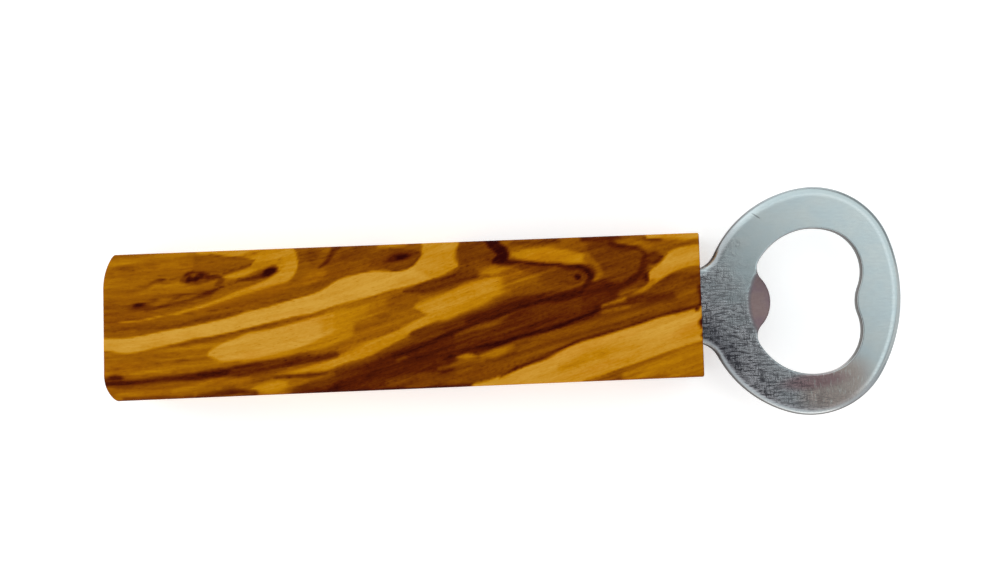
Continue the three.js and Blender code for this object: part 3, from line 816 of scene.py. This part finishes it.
class Nodes:
    """Short ways to add nodes to a material or a world and link them."""

    def __init__(self, owner, shader="Principled BSDF"):
        owner.use_nodes = True
        self.owner, self.tree = owner, owner.node_tree
        self.shader = self.tree.nodes[shader]

    def put(self, socket, value):
        if isinstance(value, bpy.types.NodeSocket):
            self.tree.links.new(value, socket)
        else:
            socket.default_value = value

    def add(self, kind, inputs=(), output=0, **settings):
        node = self.tree.nodes.new(kind)
        for key, value in settings.items():
            setattr(node, key, value)
        for key, value in dict(inputs).items():
            self.put(node.inputs[key], value)
        return node.outputs[output]

    def attribute(self, name, output="Fac"):
        return self.add("ShaderNodeAttribute", output=output, attribute_name=name)

    def millimetres(self):
        """Where a point of the piece is, in millimetres."""
        return self.scaled(self.add("ShaderNodeTexCoord", output="Object"), (1 / MM,) * 3)

    def math(self, operation, a, b=0.0, clamp=False):
        return self.add("ShaderNodeMath", {0: a, 1: b}, operation=operation, use_clamp=clamp)

    def vector(self, operation, a, b, output=0):
        return self.add("ShaderNodeVectorMath", {0: a, 1: b}, output, operation=operation)

    def times(self, a, b):
        return self.math("MULTIPLY", a, b)

    def plus(self, a, b):
        return self.math("ADD", a, b)

    def scaled(self, vector, scale):
        return self.vector("MULTIPLY", vector, scale)

    def noise(self, vector, scale, detail=2.0, roughness=0.5, seed=0.0):
        """Noise from 0 to 1 with its own number of features per unit on each axis."""
        moved = self.vector("ADD", self.scaled(vector, scale), (seed,) * 3)
        inputs = {"Vector": moved, "Scale": 1.0, "Detail": detail, "Roughness": roughness}
        return self.add("ShaderNodeTexNoise", inputs)

    def range(self, value, low, high, to_low=0.0, to_high=1.0, smooth=True):
        kind = "SMOOTHSTEP" if smooth else "LINEAR"
        inputs = {"Value": value, "From Min": low, "From Max": high, "To Min": to_low, "To Max": to_high}
        return self.add("ShaderNodeMapRange", inputs, interpolation_type=kind)

    def oval(self, axes, centre, size, tilt_deg, fade, strength):
        """An oval patch in plan. It fades out between two distances, which are 1 on its edge."""
        c, s = math.cos(math.radians(tilt_deg)), math.sin(math.radians(tilt_deg))
        x = self.math("SUBTRACT", axes[0], centre[0])
        y = self.math("SUBTRACT", axes[1], centre[1])
        along = self.plus(self.times(x, c / size[0]), self.times(y, s / size[0]))
        across = self.math("SUBTRACT", self.times(y, c / size[1]), self.times(x, s / size[1]))
        square = self.plus(self.times(along, along), self.times(across, across))
        return self.range(self.math("SQRT", square), *fade, strength, 0.0)

    def ramp(self, value, stops):
        node = self.tree.nodes.new("ShaderNodeValToRGB")
        elements = node.color_ramp.elements
        while len(elements) < len(stops):
            elements.new(0.5)
        for element, (at, colour) in zip(elements, stops):
            element.position = at
            element.color = (*colour, 1.0)
        self.put(node.inputs["Fac"], value)
        return node.outputs["Color"]

    def mix(self, share, a, b, blend="MIX"):
        node = self.tree.nodes.new("ShaderNodeMix")
        node.data_type, node.blend_type = "RGBA", blend
        self.put(node.inputs[0], share)
        self.put(node.inputs[6], a if isinstance(a, bpy.types.NodeSocket) else (*a, 1.0))
        self.put(node.inputs[7], b if isinstance(b, bpy.types.NodeSocket) else (*b, 1.0))
        return node.outputs[2]

    def bump(self, height, distance, strength=1.0):
        inputs = {"Height": height, "Distance": distance, "Strength": strength}
        self.put(self.shader.inputs["Normal"], self.add("ShaderNodeBump", inputs))

    def set(self, **values):
        for key, value in values.items():
            self.put(self.shader.inputs[key.replace("_", " ")], value)


def tint(red, green, blue):
    """A colour given on the 0 to 255 scale that pictures use, as the shader wants it."""
    shares = (red / 255, green / 255, blue / 255)
    return tuple(s / 12.92 if s <= 0.04045 else ((s + 0.055) / 1.055) ** 2.4 for s in shares)


WOOD_TONES = (
    (0.0, tint(46, 2, 0)),
    (0.15, tint(86, 28, 0)),
    (0.35, tint(122, 63, 0)),
    (0.55, tint(153, 91, 0)),
    (0.78, tint(187, 125, 3)),
    (1.0, tint(207, 155, 58)),
)


def wood_material():
    m = Nodes(bpy.data.materials.new("oiled_olive_wood"))
    tone, grain = m.attribute("tone"), m.attribute("grain", "Vector")
    fibres = m.noise(grain, (0.35, 3.6, 3.6), detail=4.0, roughness=0.65)
    streaks = m.noise(grain, (0.09, 1.1, 1.1), detail=3.0, seed=7.0)
    clouds = m.noise(grain, (0.16, 0.45, 0.45), detail=4.0, roughness=0.6, seed=19.0)
    mottle = m.noise(grain, (1.1, 2.4, 2.4), detail=3.0, roughness=0.7, seed=71.0)
    pores = m.range(m.noise(grain, (0.7, 6.0, 6.0), detail=1.0, seed=31.0), 0.64, 0.76)
    for texture, reach in ((fibres, 0.045), (streaks, 0.030), (clouds, 0.060), (mottle, 0.050)):
        tone = m.plus(tone, m.range(texture, 0.25, 0.75, -reach, reach, smooth=False))
    tone = m.math("SUBTRACT", tone, m.times(pores, 0.12), clamp=True)
    colour = m.ramp(tone, WOOD_TONES)
    warm = m.range(m.noise(grain, (0.05, 0.22, 0.22), seed=53.0), 0.45, 0.75, 0.0, 0.35)
    colour = m.mix(warm, colour, m.mix(1.0, colour, tint(255, 232, 205), blend="MULTIPLY"))
    m.set(Base_Color=colour, IOR=1.47, Specular_IOR_Level=0.035)
    rough = m.range(fibres, 0.2, 0.8, 0.38, 0.52, smooth=False)
    m.set(Roughness=m.plus(rough, m.times(pores, 0.15)))
    relief = m.math("SUBTRACT", fibres, m.times(pores, 0.8))
    m.bump(relief, 0.00003, 0.6)
    return m.owner


def steel_material():
    m = Nodes(bpy.data.materials.new("tumbled_plated_steel"))
    place = m.millimetres()
    axes = m.add("ShaderNodeSeparateXYZ", {0: place}).node.outputs
    dashes = m.noise(place, (0.55, 3.0, 1.2), detail=4.0, roughness=0.68)
    cross = m.noise(place, (3.0, 0.55, 1.2), detail=4.0, roughness=0.68, seed=11.0)
    haze = m.noise(place, (0.16, 0.22, 0.1), detail=4.0, roughness=0.6, seed=23.0)
    grit = m.noise(place, (6.0, 6.0, 6.0), detail=2.0, seed=41.0)
    # The tumbled texture is deepest towards the neck and fades out across the ring. The same mask lays
    # painted shade, darker towards the neck and the lower left.
    toward = m.plus(m.times(axes[0], 0.80), m.times(axes[1], 0.60))
    toward = m.plus(toward, m.range(haze, 0.3, 0.7, -3.0, 3.0, smooth=False))
    rim = m.attribute("rim")
    tumbled_and_shaded = m.times(m.range(toward, 27.0, 44.0, 1.0, 0.0), m.range(rim, 0.0, 1.0, 1.0, 0.25))
    patches = m.range(m.noise(place, (0.30, 0.22, 0.3), detail=1.0, seed=61.0), 0.36, 0.56)
    cuts = m.range(dashes, 0.44, 0.52, 1.0, 0.0)
    cross_cuts = m.times(m.range(cross, 0.41, 0.48, 1.0, 0.0), patches)
    cuts = m.math("MAXIMUM", cuts, m.times(cross_cuts, 0.9))
    # A reddish-brown patch at the bottom of the ring: a painted reflection.
    painted_reddish_reflection = m.oval(axes, (62.0, -16.0), (9.0, 6.0), 28.0, (0.45, 1.05), 1.0)
    ticks = m.range(m.noise(place, (4.6, 0.55, 1.0), detail=3.0, roughness=0.6, seed=83.0), 0.54, 0.68)
    # the tongue's reddish tint, a painted reflection
    painted_tongue_reflection = m.mix(m.range(haze, 0.35, 0.65), tint(114, 92, 90), tint(102, 78, 86))
    wall = m.times(m.attribute("wall"), 0.95)
    dent = m.oval(axes, (66.9, -3.5), (0.30, 0.24), 0.0, (0.6, 1.2), 1.0)
    scratch = m.oval(axes, (48.2, 16.6), (1.0, 0.14), -35.0, (0.5, 1.2), 0.6)
    colour = m.mix(m.range(haze, 0.3, 0.7), tint(199, 206, 206), tint(193, 204, 207))
    # Each layer of colour is laid over the ones before it.
    for share, laid in (
        # darker towards the neck: tumbled texture and painted shade
        (tumbled_and_shaded, tint(184, 182, 186)),
        # painted shade: a darker blue-grey patch over the lower neck
        (m.oval(axes, (39.0, -8.6), (9.5, 5.5), -52.0, (0.3, 1.1), 0.6), tint(98, 100, 108)),
        # painted reflection: the reddish-brown patch
        (m.times(painted_reddish_reflection, 0.75), tint(182, 160, 149)),
        # painted reflection: a mauve patch along the bottom of the ring
        (m.oval(axes, (58.0, -15.2), (8.0, 2.0), 6.0, (0.4, 1.1), 0.8), tint(162, 128, 132)),
        # the dark tumbled marks, darkest where the painted shade lies
        (m.times(cuts, m.plus(m.times(tumbled_and_shaded, 0.88), 0.02)), tint(46, 46, 54)),
        (m.times(ticks, m.times(painted_reddish_reflection, 0.6)), tint(206, 212, 206)),
        # painted highlight on the rolled rim
        (m.times(rim, 0.6), tint(214, 221, 224)),
        # painted shade on the far rim
        (m.times(m.attribute("far_rim_shade"), 0.5), tint(150, 162, 164)),
        # painted reflection over the tongue
        (m.times(m.attribute("tongue"), 0.92), painted_tongue_reflection),
        # painted shade along the tongue's bend
        (m.times(m.attribute("bend"), 0.7), tint(80, 70, 74)),
        # the cut walls: darker cut steel, with painted shade strongest on the lower left
        (wall, tint(84, 79, 76)),
        (m.math("MAXIMUM", dent, scratch), tint(96, 98, 98)),
    ):
        colour = m.mix(share, colour, laid)
    m.set(Base_Color=colour, Metallic=1.0)
    m.set(Roughness=m.plus(m.range(dashes, 0.3, 0.7, 0.24, 0.16), m.times(wall, 0.25)))
    relief = m.plus(m.times(dashes, 0.75), m.times(cross, 0.40))
    relief = m.plus(relief, m.times(grit, 0.08))
    relief = m.times(relief, m.plus(m.times(tumbled_and_shaded, 0.95), 0.04))
    m.bump(relief, 0.000045, 1.0)
    return m.owner


def glue_material():
    m = Nodes(bpy.data.materials.new("amber_epoxy"))
    place = m.millimetres()
    clouds = m.noise(place, (0.5, 0.5, 0.5), detail=3.0)
    bubbles = m.range(m.noise(place, (2.6, 2.6, 2.6), seed=5.0), 0.62, 0.7)
    colour = m.mix(clouds, tint(104, 62, 20), tint(146, 98, 44))
    colour = m.mix(m.times(bubbles, 0.4), colour, tint(176, 136, 84))
    m.set(Base_Color=colour, Roughness=m.range(clouds, 0.2, 0.8, 0.14, 0.3), IOR=1.52)
    m.bump(m.plus(clouds, bubbles), 0.00008, 0.5)
    return m.owner


def floor_material():
    m = Nodes(bpy.data.materials.new("plain_floor"))
    m.set(Base_Color=(0.95, 0.95, 0.95, 1.0), Roughness=0.9, Specular_IOR_Level=0.1)
    m.set(Emission_Color=(1.0, 1.0, 1.0, 1.0), Emission_Strength=0.35)
    return m.owner


# ---- Where the figure runs inside the wood ----

FLOW_X = (-112, -90, -70, -55, 0)
FLOW_Y = (0, 1.6, 5.2, 9.4, 25.5)  # how far a fibre has climbed by each FLOW_X
LAYER_SLOPE = 0.75  # the growth layers lean over by this much across for each step down
DEPTH_SHIFT, GRAIN_SHEAR = 0.3, 0.25  # how far the figure slips along for each step down and across
FIGURE_END_X, FIGURE_MARGIN = 1.0, 0.3  # past here the drawn figure keeps its last tone
BASE_TONE, END_GRAIN_DARKER = 0.45, 0.10


def strokes(wood):
    for lay in (
        lay_ground,
        lay_pale_bands,
        lay_knots_at_the_butt,
        lay_middle,
        lay_light_branches,
        lay_dark_heart,
        lay_upper_right,
        lay_head_end,
    ):
        lay(wood.band, wood.line, wood.spot)


def plain_figure(flow):
    """Bands with crisp edges and thin dark lines, for wood that the top face doesn't show."""
    bands = 0.5 + 0.5 * drift(flow, (48, 3.2, 9), 21) + 0.25 * drift(flow, (30, 1.3, 6), 22)
    tone = 0.22 + 0.42 * ease((bands - 0.25) / 0.3) + 0.24 * ease((bands - 0.66) / 0.14)
    vein = 1.0 - np.abs(drift(flow, (60, 2.6, 8), 24)) / 0.10
    return tone - 0.22 * ease(vein)


def wood_field(points):
    """Tone and fibre coordinates at points of the handle, from the top face downwards."""
    x, y, z = points.T
    depth = THICKNESS - z
    lean = depth * LAYER_SLOPE + 0.9 * drift((x, y, z), (26, 9, 7), 11) * ease(depth / 4)
    x = x + DEPTH_SHIFT * depth
    y = y - lean
    climb = np.interp(x, FLOW_X, FLOW_Y)
    v = y - climb
    u = x + GRAIN_SHEAR * y
    flow = (u, v, depth)
    wavy_x = x + 0.35 * drift(flow, (5, 1.6, 4), 3)
    wavy_y = y + 0.22 * drift(flow, (4, 0.9, 4), 4)
    # Below the top face's lower edge, each layer is followed back up to where it meets that edge.
    half = BUTT_WIDTH / 2
    climbed = climb + np.maximum(-half - y, 0.0)
    slide = np.interp(climbed, FLOW_Y, FLOW_X) - np.interp(climb, FLOW_Y, FLOW_X)
    board_x = np.minimum(wavy_x + slide, FIGURE_END_X)
    board_y = np.maximum(wavy_y, FIGURE_MARGIN - half)
    wood = Board(board_x, board_y, np.full(x.shape, BASE_TONE))
    strokes(wood)
    wood.x, wood.y = x, y + depth * LAYER_SLOPE
    # Painted shade along the rounded lower edge
    wood.line(0.14, 0.5, [(-112, -13.8), (2, -13.8)], soft=0.6, strength=0.85 * (depth < 1.2))
    past_the_end = ease((climbed - FLOW_Y[-1] + 1.0) / 2.0) * ease((-half - y) / 2.0)
    tone = wood.tone + past_the_end * (np.clip(plain_figure(flow), 0.03, 0.95) - wood.tone)
    strength = np.interp(tone, (0, 0.3, 0.6, 0.9), (0.02, 0.08, 0.08, 0.04))
    tone = tone + strength * drift(flow, (16, 0.55, 2), 5)
    tone = tone + 0.6 * strength * drift(flow, (7, 0.3, 1.2), 6)
    # Thin dark growth lines, strongest in the brown wood.
    for size, width, reach, seed in (((34, 1.5, 5), 0.10, 0.11, 31), ((22, 0.8, 3), 0.12, 0.07, 32)):
        bent = (u + 1.5 * drift(flow, (9, 5, 5), 33), v + 0.35 * drift(flow, (11, 3, 4), 34), depth)
        growth = ease(1.0 - np.abs(drift(bent, size, seed)) / width)
        tone = tone - reach * growth * np.interp(tone, (0.1, 0.35, 0.6, 0.85), (0.2, 1.0, 0.9, 0.35))
    return tone, np.stack(flow, 1)


def paint_handle(handle):
    mesh = handle.data
    tone, flow = wood_field(read(mesh, "co") / MM - (ORIGIN_X, ORIGIN_Y, 0.0))
    end_grain = ease((np.abs(read(mesh, "normal")[:, 0]) - 0.5) / 0.4)
    store(mesh, "tone", tone - END_GRAIN_DARKER * end_grain)
    store(mesh, "grain", flow)


# ---- Floor, camera and light ----

# In metres, apart from the lens
FLOOR_SIZE, FLOOR_GAP = 1.6, 0.0002
CAMERA_HEIGHT = 0.318
CAMERA_X, CAMERA_Y = -0.00251, 0.004035
CAMERA_TURN_DEG = -2.2925
LENS_MM = 59.10

TENT_LEVEL = 0.66
TENT_BRIGHT_SIDE = (-0.24, -0.08, 0.0)
TENT_GAP = (0.028, -0.010, 0.318)
TENT_GAP_DEG = (15.0, 3.0)  # from its middle: where it starts, and where it is darkest
TENT_GAP_LEVEL = 0.05


def make_floor():
    mesh = bpy.data.meshes.new("studio_floor")
    sides = (-1, -1), (1, -1), (1, 1), (-1, 1)
    corners = [(x * FLOOR_SIZE, y * FLOOR_SIZE, 0) for x, y in sides]
    mesh.from_pydata(corners, [], [[0, 1, 2, 3]])
    floor = add_object("studio_floor", mesh)
    floor.location.z = -FLOOR_GAP
    mesh.materials.append(floor_material())


def make_camera():
    data = bpy.data.cameras.new("camera")
    data.sensor_width = 36.0
    data.lens = LENS_MM
    camera = add_object("camera", data)
    camera.location = (CAMERA_X, CAMERA_Y, CAMERA_HEIGHT)
    camera.rotation_euler = (0.0, 0.0, math.radians(CAMERA_TURN_DEG))
    bpy.context.scene.camera = camera


def softbox(name, place, aim, size, power, colour, turn_deg=0.0):
    data = bpy.data.lights.new(name, "AREA")
    data.shape = "RECTANGLE"
    data.size, data.size_y = size
    data.energy = power
    data.color = colour
    light = add_object(name, data)
    light.location = place
    facing = (Vector(aim) - Vector(place)).to_track_quat("-Z", "Y")
    light.rotation_euler = (facing @ Quaternion((0, 0, 1), math.radians(turn_deg))).to_euler()


def make_tent():
    """Pale studio walls all round, brighter on the left, with a dark gap above the camera."""
    world = bpy.data.worlds.new("studio")
    m = Nodes(world, "Background")
    direction = m.add("ShaderNodeTexCoord", output="Generated")
    walls = m.plus(m.vector("DOT_PRODUCT", direction, TENT_BRIGHT_SIDE, "Value"), TENT_LEVEL)
    toward_gap = m.vector("DOT_PRODUCT", direction, Vector(TENT_GAP).normalized(), "Value")
    rim = [math.cos(math.radians(angle)) for angle in TENT_GAP_DEG]
    gap = m.range(toward_gap, rim[0], rim[1], 1.0, TENT_GAP_LEVEL)
    m.set(Color=(0.96, 0.98, 1.0, 1.0), Strength=m.times(walls, gap))
    bpy.context.scene.world = world


def make_light():
    # The large box overhead stops short of the camera's own reflection, so flat steel shows its edge.
    x, y = 0.288, 0.473
    softbox("overhead_box", (x, y, 0.80), (x, y, 0.0), (1.32, 0.78), 2.5, (0.90, 0.99, 1.0), -47.6)
    softbox("left_box", (-0.85, 0.15, 0.50), (0, 0, 0), (0.6, 0.8), 2.8, (1.0, 0.96, 0.90))
    softbox("front_box", (0.0, -0.95, 0.55), (0, 0, 0), (1.0, 0.5), 2.6, (1.0, 0.97, 0.92))
    softbox("right_box", (0.95, -0.10, 0.45), (0, 0, 0), (0.5, 0.8), 0.7, (1.0, 0.93, 0.88))
    softbox("back_box", (0.1, 1.0, 0.30), (0, 0, 0), (1.0, 0.4), 1.0, (0.95, 0.98, 1.0))
    make_tent()
    view = bpy.context.scene.view_settings
    view.view_transform = "Standard"
    view.look = "None"
    view.exposure = 0.0


# ---- The object ----

def finish_piece(piece, node, material):
    piece.data.materials.clear()
    piece.data.materials.append(material)
    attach(piece, "root")
    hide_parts(node)


handle = make_handle()
paint_handle(handle)
finish_piece(handle, "handle", wood_material())
finish_piece(make_head(), "opener_head", steel_material())
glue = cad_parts["adhesive"]
glue.data.materials.clear()
glue.data.materials.append(glue_material())

make_floor()
make_camera()
make_light()
